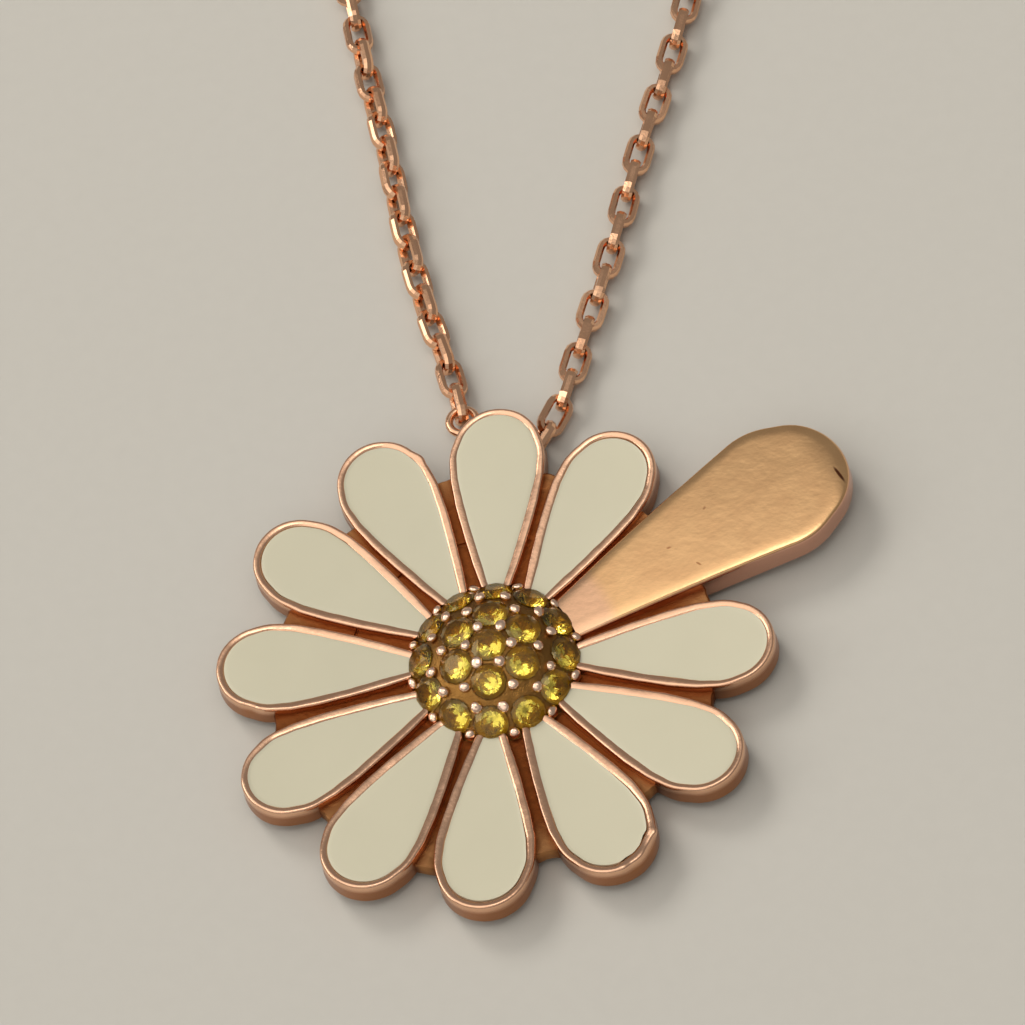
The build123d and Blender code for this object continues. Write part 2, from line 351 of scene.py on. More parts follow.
# The plate's dark colour is partly its duller finish and partly painted shade in the narrow grooves.
groove_gold = metal(
    "groove gold", (0.56, 0.28, 0.11), (0.26, 0.10, 0.035), roughness=0.42, spread=0.2, size=2200,
    bump=1.6,
)
satin_gold = metal(
    "satin gold", (0.94, 0.58, 0.28), (0.70, 0.38, 0.18), roughness=0.22, spread=0.12, size=320, bump=0.9,
    stretch=(1, 1.3, 1), turn=-31, patch=3.5,
)
chain_gold = metal(
    "chain gold", (0.96, 0.59, 0.37), (0.66, 0.31, 0.16), roughness=0.15, spread=0.16, size=1200, bump=0.5,
)
bead_gold = metal(
    "bead gold", (1.0, 0.74, 0.56), (0.95, 0.58, 0.40), roughness=0.19, spread=0.12, size=1500, bump=0.5,
)
# The dome's dark olive colour is painted shade between the stones and beads.
dome_gold = metal(
    "dome gold", (0.34, 0.17, 0.045), (0.13, 0.055, 0.012), roughness=0.30, spread=0.2, size=1800, bump=2.5,
    patch=1.5,
)
print("metals", [material.name for material in bpy.data.materials])

# %% [markdown]
# ## Painted shade and marks
# More colours are mixed over three of the metals by masks. The plate gets painted shade near the
# dome, at its left and right ends, and beside the petals' walls, which a value kept in its mesh
# tells. The seats are more yellow than the painted shade of the dome's surface. The long petal
# is duller at its inner end, has painted shade on its walls, and has three flecks and a slit.

# %% Recolour the plate, the seats and the long petal
# Painted shade: the plate is darker near the dome, where its narrow grooves lie in shade.
plate_shade_middle = ((0, 0, 0.8 * mm), 7.0 * mm, 8.8 * mm)  # centre, distances where the dark fades
seat_ball = (dome_middle, dome_radius - 0.07 * mm, dome_radius - 0.03 * mm)
petal_end = ((0.3 * mm, 0.3 * mm, 1 * mm), 4.3 * mm, 5.0 * mm)
wall_normal = 0.55  # a wall's normal points up less than this
# Painted shade at the plate's left and right ends, where its grooves lie in shade.
plate_shade_spots = (  # middle and half sizes in mm, turn in degrees, share, colour
    ((-8.3, -1.2), (2.6, 5.0), 0, 0.9, (0.24, 0.07, 0.018)),
    ((8.4, -2.6), (2.0, 2.4), 0, 0.8, (0.22, 0.065, 0.018)),
)
petal_spots = (
    ((6.97, 4.25), (0.12, 0.06), 10, 1.0, (0.55, 0.27, 0.12)),
    ((8.17, 3.44), (0.16, 0.05), -35, 1.0, (0.50, 0.24, 0.10)),
    ((8.39, 5.86), (0.11, 0.07), 60, 1.0, (0.60, 0.32, 0.15)),
    ((13.76, 6.96), (0.52, 0.085), -57, 1.0, (0.16, 0.05, 0.02)),
)


def place_of(material):
    """A finished material's tree and its Object coordinate."""
    tree = material.node_tree
    return tree, tree.nodes["Texture Coordinate"].outputs["Object"]


def ball_mask(tree, place, centre, inside, outside):
    """A mask that is 1 up to one distance from a centre and fades to 0 at another."""
    away = math_node(tree, "DISTANCE", place, centre, kind="VectorMath", output="Value")
    return fade(tree, away, outside, inside)


def oval_mask(tree, place, at, size, turn):
    """A mask that is 1 inside a flat oval, given by its middle, half sizes and turn."""
    oval = add_node(
        tree, "Mapping", Vector=place, Location=(at[0] * mm, at[1] * mm, 0),
        Rotation=(0, 0, radians(turn)), Scale=(size[0] * mm, size[1] * mm, 1),
    )
    oval.vector_type = "TEXTURE"
    away = math_node(tree, "LENGTH", oval.outputs[0], kind="VectorMath", output="Value")
    return fade(tree, away, 1.0, 0.45)


def recolour(material, mask, share, colour):
    """Mix one more colour over a finished metal's colour, by a share of a mask of its tree."""
    tree = material.node_tree
    shader = tree.nodes["Principled BSDF"]
    before = shader.inputs["Base Color"].links[0].from_socket
    factor = math_node(tree, "MULTIPLY", mask, share)
    feed(tree, shader, Base_Color=mix_colours(tree, factor, before, colour))


def add_spots(material, spots):
    """Recolour a metal in flat ovals."""
    tree, place = place_of(material)
    for at, size, turn, share, colour in spots:
        recolour(material, oval_mask(tree, place, at, size, turn), share, colour)


tree, place = place_of(groove_gold)
# Painted shade near the dome.
recolour(groove_gold, ball_mask(tree, place, *plate_shade_middle), 1.0, (0.27, 0.075, 0.018))
# Painted shade at the plate's two ends.
add_spots(groove_gold, plate_shade_spots)
# Painted shade beside the petals' walls, read from a value kept in the plate's mesh.
shade_beside_wall = add_node(tree, "Attribute")
shade_beside_wall.attribute_name = "shade_beside_wall"
recolour(groove_gold, shade_beside_wall.outputs["Fac"], 0.85, (0.16, 0.045, 0.012))

tree, place = place_of(dome_gold)
# The seats keep a brighter yellow than the painted shade round them.
recolour(dome_gold, ball_mask(tree, place, *seat_ball), 1.0, (0.46, 0.29, 0.05))

tree, place = place_of(satin_gold)
recolour(satin_gold, ball_mask(tree, place, *petal_end), 0.5, (0.80, 0.47, 0.34))
add_spots(satin_gold, petal_spots)
# Painted shade: the long petal's walls, found by their normal, get a darker, redder colour.
normal = add_node(tree, "NewGeometry").outputs["Normal"]
upwards = add_node(tree, "SeparateXYZ", Vector=normal).outputs["Z"]
wall = math_node(tree, "LESS_THAN", upwards, wall_normal)
recolour(satin_gold, wall, 1.0, (0.72, 0.40, 0.28))
print("spots", len(plate_shade_spots + petal_spots))

# %% [markdown]
# ## Enamel and stones
# The enamel is an off-white vitreous coat, nearly even, with faint clouding. The stones are a
# clear golden yellow: glass with a high index, so their facets flash and their tables look deep.

# %% Make the enamel
enamel, tree, shader, place = new_material("off-white enamel")
clouds = use_group(
    tree, tint, place, Clean=(0.602, 0.562, 0.414), Dull=(0.556, 0.520, 0.380), Amount=0.9, Size=420.0,
)
gloss = use_group(tree, polish, place, Roughness=0.34, Spread=0.1, Size=600.0)
feed(
    tree, shader, Base_Color=clouds.outputs["Color"], Roughness=gloss.outputs["Roughness"],
    Normal=bump_node(tree, gloss.outputs["Height"], 0.15, 0.02 * mm),
)

# %% Make the stone
stone_glass, tree, shader, place = new_material("golden yellow stone")
hue = use_group(
    tree, tint, place, Clean=(0.97, 0.78, 0.11), Dull=(0.74, 0.52, 0.05), Amount=1.0, Size=500.0,
)
feed(
    tree, shader, Base_Color=hue.outputs["Color"], Roughness=0.02, IOR=1.77,
    Specular_Tint=(0.95, 0.78, 0.42), Transmission_Weight=1.0,
)
print("enamel and stone made")

# %% [markdown]
# ## A petal's outline
# A petal is as wide as the hull of a few circles in a row. The same rows are in the source of
# the solids, so rims, walls and enamel all follow one shape. Points spaced evenly round the
# hull make good edge loops.

# %% Sizes of the petals
petal_height = 1.05 * mm
enamel_reach = 10.84 * mm
enamel_half_width = 1.59 * mm
rim_width = 0.31 * mm
enamel_circles = (  # place as a share of the reach, back from it in half widths, radius in half widths
    (0.332, 0, 0.20), (0.560, 0, 0.63), (0.680, 0, 0.835),
    (1, 1.527, 0.97), (1, 1.152, 1.00), (1, 0.925, 0.925),
)
flare_beside = 0.7  # how much of the extra rim width stands beside the widest point
petal_rows = (  # place, turn in degrees, reach as a share, extra rim width at the end as a share
    (0, 0.2, 1.002, 0.15), (1, 0.2, 0.986, 0.35), (3, -0.1, 1.006, 0.15), (4, 0.3, 1.011, 0.15),
    (5, 0.5, 0.992, 0.42), (6, -0.8, 0.991, 0.40), (7, -0.4, 1.012, 0.25), (8, 0.6, 1.006, 0.10),
    (9, -0.1, 0.993, 0.25), (10, -0.9, 0.993, 0.35), (11, 0.0, 1.007, 0.20),
)


def running_lengths(points):
    """Length of a line up to each of its points."""
    lengths = [0.0]
    for a, b in zip(points, points[1:]):
        lengths.append(lengths[-1] + (b - a).length)
    return lengths


def evenly_spaced(points, count):
    """Points at even steps along a closed line."""
    loop = points + points[:1]
    lengths = running_lengths(loop)
    spaced, at = [], 0
    for index in range(count):
        wanted = lengths[-1] * index / count
        while lengths[at + 1] < wanted:
            at += 1
        share = (wanted - lengths[at]) / max(lengths[at + 1] - lengths[at], 1e-12)
        spaced.append(loop[at].lerp(loop[at + 1], share))
    return spaced


def petal_outline(rows, reach, half_width, margin, count=120):
    """Points round a petal that lies along +X."""
    circles = [(ahead * reach - back * half_width, share * half_width) for ahead, back, share in rows]
    hull = []
    for step in range(720):
        way = Vector((cos(radians(step / 2)), sin(radians(step / 2)), 0))
        at, radius = max(circles, key=lambda circle: circle[0] * way.x + circle[1])
        hull.append(Vector((at, 0, 0)) + way * (radius + margin))
    return evenly_spaced(hull, count)


def petal_place(place, turn):
    """Where a petal drawn along +X goes, with its outer end raised."""
    upright = Matrix.Rotation(radians(90 - place * 30 + turn), 4, "Z")
    tip_up = Matrix.Rotation(radians(-dish_angle), 4, "Y")
    foot = Matrix.Translation((core_radius, 0, 0))
    return upright @ foot @ tip_up @ foot.inverted()


print("outline points", len(petal_outline(enamel_circles, enamel_reach, enamel_half_width, 0)))

# %% [markdown]
# ## The enamelled petals' metal
# Each petal is a shallow cup: a wall, a rounded rim like soldered wire, and a floor under the
# enamel. It starts as a filled circle whose points are moved onto the outline, is extruded up,
# and then inset in small steps that rise and fall, which draws the rim's section. Its crest is
# near the outer edge. The rim is a little wider beside the petal's narrow part. A ball larger
# than the dome cuts the inner end, so that the stones there stand free. At last a few dents
# and nubs are pressed into three of the rims.

# %% Build the cups
wall_heights = (0.12 * mm, 0.35 * mm, 0.62 * mm, 0.90 * mm)
rim_steps = (  # inwards and upwards in mm
    (0.008, 0.045), (0.018, 0.040), (0.026, 0.030), (0.034, 0.016), (0.040, 0.002), (0.048, -0.008),
    (0.050, -0.014), (0.048, -0.022), (0.036, -0.034), (0.020, -0.050), (0.006, -0.06),
)
cup_points = 150
cup_margin = rim_width - 0.012 * mm  # leaves room for the handwork
cup_room = 0.13 * mm  # beside the dome
narrow_extra = 0.09 * mm
narrow_zone = (2.8 * mm, 4.4 * mm, 7.0 * mm, 9.2 * mm)  # where it widens, is wide, and narrows
rim_start, rim_fade = 0.10 * mm, 0.12 * mm  # only the rim's outer part moves
rim_marks = (  # cup, place, reach and push in mm
    (4, (6.17, -8.50, 1.4), 0.62, (-0.12, 0.13, -0.08)),
    (4, (5.90, -8.82, 1.4), 0.62, (-0.12, 0.13, -0.08)),
    (4, (5.56, -9.23, 1.4), 0.55, (-0.12, 0.13, -0.08)),
    (4, (5.30, -9.50, 1.4), 0.30, (0.0, -0.05, 0.09)),
    (4, (6.50, -8.06, 1.4), 0.30, (0.08, -0.05, 0.07)),
    (8, (-9.89, 2.22, 0.9), 0.40, (-0.14, 0.16, 0.02)),
    (8, (-9.60, -1.75, 1.3), 0.55, (0.05, 0.05, -0.14)),
    (10, (-3.13, 9.20, 1.5), 0.50, (0.10, 0.03, 0.02)),
)


def clear_of_dome(piece, room):
    """Cut off what stands where the dome's stones do, with a ball larger than the dome by a room."""
    deselect()
    bpy.ops.mesh.primitive_uv_sphere_add(segments=72, ring_count=48, radius=dome_radius + room)
    ball = bpy.context.object
    set_place(ball, Matrix.Translation(dome_middle))
    cut_away(piece, ball)


def filled_outline(name, points, height=0.0):
    """A flat face with the given outline, in edit mode and selected."""
    deselect()
    bpy.ops.mesh.primitive_circle_add(vertices=len(points), radius=mm, fill_type="NGON")
    piece = bpy.context.object
    piece.name = name
    piece.data.name = name
    for vertex, point in zip(piece.data.vertices, points):
        vertex.co = (point.x, point.y, height)
    bpy.ops.object.mode_set(mode="EDIT")
    bpy.ops.mesh.select_all(action="SELECT")
    bpy.ops.mesh.normals_make_consistent(inside=False)
    return piece


def raise_face(height):
    """Extrude the selected face up."""
    bpy.ops.mesh.extrude_region_move(TRANSFORM_OT_translate={"value": (0, 0, height)})


def raise_wall(heights):
    """Extrude the selected face up to one height after another."""
    at = 0.0
    for height in heights:
        raise_face(height - at)
        at = height


def inset_face(steps):
    """Inset the selected face in steps inwards and upwards in mm."""
    for inwards, up in steps:
        bpy.ops.mesh.inset(thickness=inwards * mm, depth=up * mm)


def widen_rim(piece, outline):
    """Push the outer half of the rim outwards beside the narrow part of the petal."""
    side = sorted((point.x, point.y) for point in outline if point.y > 0)
    start, wide, narrowing, end = narrow_zone
    for vertex in piece.data.vertices:
        x, y = vertex.co.x, abs(vertex.co.y)
        below = [point for point in side if point[0] <= x]
        if not below or below[-1][0] > end:
            continue
        along_share = clamp(min((x - start) / (wide - start), (end - x) / (end - narrowing)))
        outer_share = clamp((y - below[-1][1] - rim_start) / rim_fade)
        push = narrow_extra * along_share * outer_share
        vertex.co.y += push if vertex.co.y > 0 else -push


def petal_cup(number, row):
    """One petal's metal in its place."""
    place, turn, share, flare = row
    extra = flare * rim_width
    half_width = enamel_half_width + flare_beside * extra
    reach = enamel_reach * share + extra
    outline = petal_outline(enamel_circles, reach, half_width, cup_margin, cup_points)
    piece = filled_outline(f"petal_cup_{number:02d}", outline)
    raise_wall(wall_heights)
    inset_face(rim_steps)
    turn_faces_out()
    widen_rim(piece, petal_outline(enamel_circles, enamel_reach * share, enamel_half_width, 0))
    set_place(piece, petal_place(place, turn))
    work_by_hand(piece, 1.1 * mm, 0.017 * mm)
    clear_of_dome(piece, cup_room)
    smooth(piece, 50)
    return piece


def press(piece, at, reach, push):
    """Push the surface near a place, most at the place and not at all beyond the reach."""
    middle = Vector(at) * mm
    for vertex in piece.data.vertices:
        share = max(1 - (vertex.co - middle).length / (reach * mm), 0)
        vertex.co += Vector(push) * mm * share * share * (3 - 2 * share)


cups = [petal_cup(number, row) for number, row in enumerate(petal_rows, 1)]
for index, at, reach, push in rim_marks:
    press(cups[index], at, reach, push)
print("cup faces", len(cups[0].data.polygons))

# %% [markdown]
# ## The enamel
# Enamel creeps up the rim where it meets the metal and lies a little lower in the middle, so
# each fill has a narrow curved border and a flat field. Where a rim is dented, its enamel ends
# earlier too.

# %% Fill the cups
enamel_steps = ((0.015, -0.003), (0.03, -0.010), (0.05, -0.009), (0.06, -0.005), (0.08, -0.003))
enamel_floor = 0.85 * mm
enamel_edge = 0.975 * mm
under_rim = 0.05 * mm
dents = ((6.00, -8.35, 1.25), (5.70, -8.70, 1.25), (5.40, -9.05, 1.25))
dent_reach, dent_push = 0.50, (-0.16, 0.17, 0)


def petal_enamel(number, row):
    """One petal's enamel in its place."""
    place, turn, share, _ = row
    outline = petal_outline(enamel_circles, enamel_reach * share, enamel_half_width, under_rim)
    piece = filled_outline(f"enamel_fill_{number:02d}", outline, enamel_floor)
    raise_face(enamel_edge - enamel_floor)
    inset_face(enamel_steps)
    turn_faces_out()
    set_place(piece, petal_place(place, turn))
    clear_of_dome(piece, cup_room)
    smooth(piece, 40)
    return piece


fills = [petal_enamel(number, row) for number, row in enumerate(petal_rows, 1)]
for at in dents:
    press(fills[4], at, dent_reach, dent_push)
print("enamel fills", len(fills))

# %% [markdown]
# ## The long polished petal
# It has no rim. Its top is nearly flat across, rolls off near the edge, is slightly bowed along
# its length and bends down a little at the tip. It is polished to a soft satin with its edge
# rounded over. The top is filled with ever smaller copies of the outline. Their points are then
# moved to the height that fits their distance from the edge and their place along the petal.

# %% Build the polished petal
polished_circles = ((0.212, 0, 0.35), (1, 1.134, 1.00), (1, 0.91, 0.91))
polished_reach = 16.16 * mm
polished_half_width = 2.78 * mm
polished_place, polished_turn = 2, 0.7
polished_points = 200
polished_margin = -0.01 * mm
polished_room = 0.14 * mm
polished_walls = (0.15 * mm, 0.50 * mm, petal_height)
edge_round = 0.12 * mm
edge_insets = (0.005, 0.015, 0.025, 0.035, 0.045, 0.06, 0.08, 0.10, 0.12, 0.14)  # in mm
crown_rings = 12
middle_rise, side_fall = 0.20 * mm, 0.05 * mm
edge_roll, edge_roll_width = 0.080 * mm, 0.50 * mm
bow, bow_middle, bow_half = 0.22 * mm, 9.6 * mm, 6.0 * mm
tip_bend, tip_bend_length = 0.14 * mm, 1.7 * mm
tiny = 0.001 * mm


def top_height(point, outline):
    """Height of the finished top at a point of the flat one."""
    inside = min((corner - Vector((point.x, point.y, 0))).length for corner in outline)
    rounded = edge_round - sqrt(edge_round**2 - max(edge_round - inside, 0)**2)
    rolled = edge_roll * max(1 - inside / edge_roll_width, 0)**2
    across = side_fall * (point.y / polished_half_width)**2
    lengthwise = bow * ((point.x - bow_middle) / bow_half)**2
    bend = tip_bend * (max(point.x - (polished_reach - tip_bend_length), 0) / tip_bend_length)**3
    return petal_height + middle_rise - across - rolled - rounded - lengthwise - bend


polished_outline = petal_outline(
    polished_circles, polished_reach, polished_half_width, polished_margin, polished_points,
)
polished = filled_outline("polished_petal", polished_outline)
raise_wall(polished_walls)
inset_face([(inwards, 0) for inwards in edge_insets])
widest = polished_reach - polished_half_width
for ring in range(crown_rings):
    left = (crown_rings - ring - 0.75) / (crown_rings - ring + 0.25)
    raise_face(0)
    bpy.ops.transform.resize(value=(left, left, 1), center_override=(widest, 0, 0))
bpy.ops.object.mode_set(mode="OBJECT")
for vertex in polished.data.vertices:
    if vertex.co.z > petal_height - tiny:
        vertex.co.z = top_height(vertex.co, polished_outline)
bpy.ops.object.mode_set(mode="EDIT")
turn_faces_out()
work_by_hand(polished, 3.2 * mm, 0.010 * mm)
set_place(polished, petal_place(polished_place, polished_turn))
clear_of_dome(polished, polished_room)
smooth(polished, 50)
print("polished petal faces", len(polished.data.polygons))

# %% [markdown]
# ## The back plate
# The petals are soldered to a thin plate that shows as a floor between them. It is a disc
# whose outer part rises with the petals, with a seam where its inner and outer parts meet.
# Solder fills the seam except on its upper left side. The plate's edge is uneven, and it ends
# short in two of the gaps between petals.

# %% Build the plate
web_radius = 8.9 * mm
web_height = 0.62 * mm
web_middle = Vector((0, -0.4 * mm, 0))
web_points = 288
edge_bevel, edge_drop = 0.06 * mm, 0.07 * mm
seam_radius = 5.95 * mm
seam_side, seam_half = 0.06 * mm, 0.025 * mm  # half its width, above and below
seam_depth, seam_lip = 0.05 * mm, 0.01 * mm
solder_height, solder_start = 0.045 * mm, 1.2 * mm
notches = ((-45, 0.55), (-75, 0.50))  # way in degrees, and depth in mm
notch_half = 14  # degrees
loose_from, loose_width = 6.5 * mm, 2.4 * mm  # where the outline grows uneven
edge_waves, edge_wave_size = 0.10, 0.5 * mm


def climb(first, last, count):
    """Radii in even steps with the heights of the plate's top there."""
    radii = [first + (last - first) * index / count for index in range(1, count + 1)]
    return [(radius, (radius - core_radius) * dish_slope + web_height) for radius in radii]


rise = (web_radius - core_radius) * dish_slope
seam_top = (seam_radius - core_radius) * dish_slope + web_height
plate_steps = (  # radius and height, out along the bottom, up and back in
    (web_radius, rise),
    (web_radius, rise + web_height - edge_drop),
    (web_radius - edge_bevel, rise + web_height),
    *climb(web_radius - edge_bevel, seam_radius + seam_side, 14),
    (seam_radius + seam_half, seam_top - seam_depth),
    (seam_radius - seam_half, seam_top - seam_depth),
    (seam_radius - seam_side, seam_top - seam_lip),
    *climb(seam_radius - seam_side, core_radius, 12),
)
ways = [radians(360 * index / web_points) for index in range(web_points)]
circle = [Vector((cos(way), sin(way), 0)) * core_radius + web_middle for way in ways]
plate = filled_outline("back_plate", circle)
radius, height = core_radius, 0.0
for next_radius, next_height in plate_steps:
    raise_face(next_height - height)
    share = next_radius / radius
    bpy.ops.transform.resize(value=(share, share, 1), center_override=web_middle)
    radius, height = next_radius, next_height
turn_faces_out()

for vertex in plate.data.vertices:
    way = vertex.co - web_middle
    near_seam = abs(way.xy.length - seam_radius) < 0.04 * mm and vertex.co.z > web_height / 2
    if near_seam and (way.x > solder_start or way.y < 0):
        vertex.co.z += solder_height
for vertex in plate.data.vertices:
    way = vertex.co - web_middle
    way.z = 0
    at = degrees(atan2(way.y, way.x))
    pull = sum(depth * max(1 - abs(at - middle) / notch_half, 0) for middle, depth in notches)
    share = clamp((way.length - loose_from) / loose_width)
    vertex.co -= way.normalized() * share * (pull + edge_waves * noise.noise(way / edge_wave_size)) * mm
work_by_hand(plate, 0.8 * mm, 0.012 * mm)
print("plate rises", round(rise / mm, 2), "mm")

# %% Paint shade on the plate beside the petals
shade_from, shade_to = 0.06 * mm, 0.34 * mm  # distances from a wall between which the painted shade fades
walls = [(polished_place, polished_turn, polished_outline)]
for place, turn, share, _ in petal_rows:
    line = petal_outline(enamel_circles, enamel_reach * share, enamel_half_width, rim_width)
    walls.append((place, turn, line))
wall_points = [petal_place(place, turn) @ point for place, turn, line in walls for point in line]
nearest = kdtree.KDTree(len(wall_points))
for index, point in enumerate(wall_points):
    nearest.insert((point.x, point.y, 0), index)
nearest.balance()
# A value in the mesh for the painted shade beside the walls.
beside = plate.data.attributes.new("shade_beside_wall", "FLOAT", "POINT")
for vertex in plate.data.vertices:
    gap = nearest.find((vertex.co.x, vertex.co.y, 0))[2]
    beside.data[vertex.index].value = clamp(1 - (gap - shade_from) / (shade_to - shade_from))
smooth(plate, 40)
print("points beside a wall", sum(item.value > 0 for item in beside.data))

# %% [markdown]
# ## The domed centre
# A ball is cut down to its cap, which gets a foot. A cone-shaped seat is then cut for each
# stone by a Boolean, as a setter drills it, and small beads of metal stand between the stones.

# %% Places on the dome
stone_width = 1.48 * mm
stone_rings = ((1, 0.0, 0), (6, 1.56, 30), (12, 3.22, 0))  # count, arc from the top in mm, first angle
bead_rings = ((6, 0.90, 0), (6, 1.95, 0), (6, 2.60, 18), (6, 2.60, -18), (12, 3.72, 15))


def dome_places(rings, lift=0.0):
    """Matrices on the dome with +Z outwards."""
    places = []
    for count, arc, first in rings:
        for index in range(count):
            turn = Matrix.Rotation(radians(first + index * 360 / count), 4, "Z")
            tip = Matrix.Rotation(arc * mm / dome_radius, 4, "Y")
            out = Matrix.Translation((0, 0, dome_radius + lift))
            places.append(Matrix.Translation(dome_middle) @ turn @ tip @ out)
    return places


print("stones", len(dome_places(stone_rings)), "beads", len(dome_places(bead_rings)))

# %% Cut the cap and its seats
foot_bottom = 0.1 * mm
seat_tip, seat_mouth, seat_depth = 0.06 * mm, 0.77 * mm, 0.72 * mm
seat_collar = 0.4 * mm  # a straight part above the cone
seat_sink = 0.31 * mm

deselect()
bpy.ops.mesh.primitive_uv_sphere_add(segments=96, ring_count=64, radius=dome_radius)
cap = bpy.context.object
cap.name = "dome_cap"
set_place(cap, Matrix.Translation(dome_middle))
bpy.ops.object.mode_set(mode="EDIT")
bpy.ops.mesh.select_all(action="SELECT")
foot_top = dome_middle[2] + sqrt(dome_radius**2 - core_radius**2)
bpy.ops.mesh.bisect(plane_co=(0, 0, foot_top), plane_no=(0, 0, 1), clear_inner=True, use_fill=True)
raise_face(foot_bottom - foot_top)
bpy.ops.mesh.select_all(action="SELECT")
bpy.ops.mesh.remove_doubles(threshold=0.0001 * mm)
turn_faces_out()

seat_cutters = []
for place in dome_places(stone_rings):
    deselect()
    bpy.ops.mesh.primitive_cone_add(vertices=24, radius1=seat_tip, radius2=seat_mouth, depth=seat_depth)
    cutter = bpy.context.object
    bpy.ops.object.mode_set(mode="EDIT")
    select_faces(cutter, lambda face: face.normal.z > 0.9)
    raise_face(seat_collar)
    bpy.ops.object.mode_set(mode="OBJECT")
    set_place(cutter, place @ Matrix.Translation((0, 0, -seat_sink)))
    seat_cutters.append(cutter)
cut_away(cap, join("seat_cutters", seat_cutters), overlapping=True)
smooth(cap, 30)
print("cap faces with seats", len(cap.data.polygons))

# %% [markdown]
# ## The stones
# A round brilliant is the convex hull of its corners: an eight-sided table, eight crown
# corners, a sixteen-sided girdle and a pavilion that runs to a point. Circles of points are
# added at those heights, and the hull operator makes every facet at once.

# %% Cut one stone and set it nineteen times
crown = 0.20 * mm
girdle = 0.05 * mm
pavilion = 0.58 * mm
stone_corners = (  # corners, share of the half width, height, turn in degrees
    (8, 0.56, crown, 22.5), (8, 0.80, crown * 0.58, 0), (16, 1.0, 0.0, 0), (16, 1.0, -girdle, 0),
    (8, 0.45, -girdle - pavilion * 0.55, 0), (8, 0.06, -girdle - pavilion, 22.5),
)


def cut_stone(name):
    """One brilliant with its girdle at Z = 0."""
    deselect()
    half = stone_width / 2
    for index, (corners, share, height, turn) in enumerate(stone_corners):
        bpy.ops.mesh.primitive_circle_add(
            vertices=corners, radius=half * share, location=(0, 0, height), rotation=(0, 0, radians(turn)),
        )
        if index == 0:
            piece = bpy.context.object
            bpy.ops.object.transform_apply(location=True, rotation=True, scale=True)
            bpy.ops.object.mode_set(mode="EDIT")
    bpy.ops.mesh.select_all(action="SELECT")
    bpy.ops.mesh.convex_hull()
    bpy.ops.mesh.select_all(action="SELECT")
    bpy.ops.mesh.dissolve_limited(angle_limit=radians(1.5))
    turn_faces_out()
    piece.name = name
    return piece


def copy_piece(piece, name, place):
    """A copy with its own mesh, put in its place."""
    twin = piece.copy()
    twin.data = piece.data.copy()
    twin.name = name
    twin.data.name = name
    bpy.context.scene.collection.objects.link(twin)
    twin.data.transform(place)
    return twin


first_stone = cut_stone("stone")
stones = []
for number, place in enumerate(dome_places(stone_rings), 1):
    spin = Matrix.Rotation(radians(47 * number), 4, "Z")
    stones.append(copy_piece(first_stone, f"cut_stone_{number:02d}", place @ spin))
print("facets in a stone", len(first_stone.data.polygons))
bpy.data.objects.remove(first_stone)

# %% Add the beads
bead_width = 0.48 * mm
bead_lift = 0.09 * mm
deselect()
bpy.ops.mesh.primitive_uv_sphere_add(segments=16, ring_count=10, radius=bead_width / 2)
first_bead = bpy.context.object
bead_copies = []
for number, place in enumerate(dome_places(bead_rings, bead_lift)):
    lean = Matrix.Rotation(radians(25 * sin(3.1 * number)), 4, "X")
    lean = lean @ Matrix.Rotation(radians(2.0 * number), 4, "Z")
    swell = 1 + 0.12 * sin(1.7 * number)
    shape = Matrix.Diagonal((swell, 1.08 - 0.08 * swell, 0.66 + 0.08 * sin(2.9 * number), 1))
    bead_copies.append(copy_piece(first_bead, "bead", place @ lean @ shape))
bpy.data.objects.remove(first_bead)
beads = join("dome_beads", bead_copies)
work_by_hand(beads, 0.30 * mm, 0.030 * mm)
smooth(beads, 60)
print("beads", len(bead_copies))

# %% [markdown]
# ## The route of the chain
# The chain's line is a smooth spline guided by the same few points as the solid's. Links are
# then set along it at an even pitch, every second one turned on edge, as in any cable chain.

# %% Draw the routes
chain_height = 0.59 * mm
left_route = (
    (-1.593, 11.160), (-2.15, 13.5), (-3.05, 15.9), (-4.20, 19.9), (-5.15, 24.6), (-6.20, 28.6),
    (-7.20, 33.4), (-9.60, 41.0), (-12.7, 53.0), (-19.7, 72.5), (-26.2, 95.0), (-34.5, 119.0),
    (-39.4, 141.0), (-38.2, 160.0), (-29.5, 176.0), (-14.5, 186.5), (-2.825, 189.092),
)
right_route = (
    (1.148, 9.341), (2.32, 11.2), (3.01, 13.8), (4.37, 18.8), (5.42, 23.5), (6.80, 28.2),
    (7.90, 33.2), (10.7, 41.0), (14.8, 53.5), (22.2, 73.0), (29.0, 96.0), (36.8, 119.5),
    (40.3, 141.0), (38.9, 160.5), (30.2, 176.0), (16.0, 186.8), (3.825, 189.092),
)


def spline_points(corners, resolution=24):
    """Points along a smooth spline whose control points are the corners."""
    curve = bpy.data.curves.new("route", "CURVE")
    curve.dimensions = "3D"
    spline = curve.splines.new("NURBS")
    spline.points.add(len(corners) - 1)
    for point, (x, y) in zip(spline.points, corners):
        point.co = (x * mm, y * mm, chain_height, 1)
    spline.order_u = 3
    spline.use_endpoint_u = True
    spline.resolution_u = resolution
    carrier = bpy.data.objects.new("route", curve)
    bpy.context.scene.collection.objects.link(carrier)
    bpy.context.view_layer.update()
    line = bpy.data.meshes.new_from_object(carrier)
    points = [vertex.co.copy() for vertex in line.vertices]
    bpy.data.objects.remove(carrier)
    bpy.data.meshes.remove(line)
    return points


def along(points, lengths, wanted):
    """Point and direction at a length along the line."""
    at = min(bisect_right(lengths, wanted), len(lengths) - 1) - 1
    step = points[at + 1] - points[at]
    return points[at] + step * ((wanted - lengths[at]) / step.length), step.normalized()


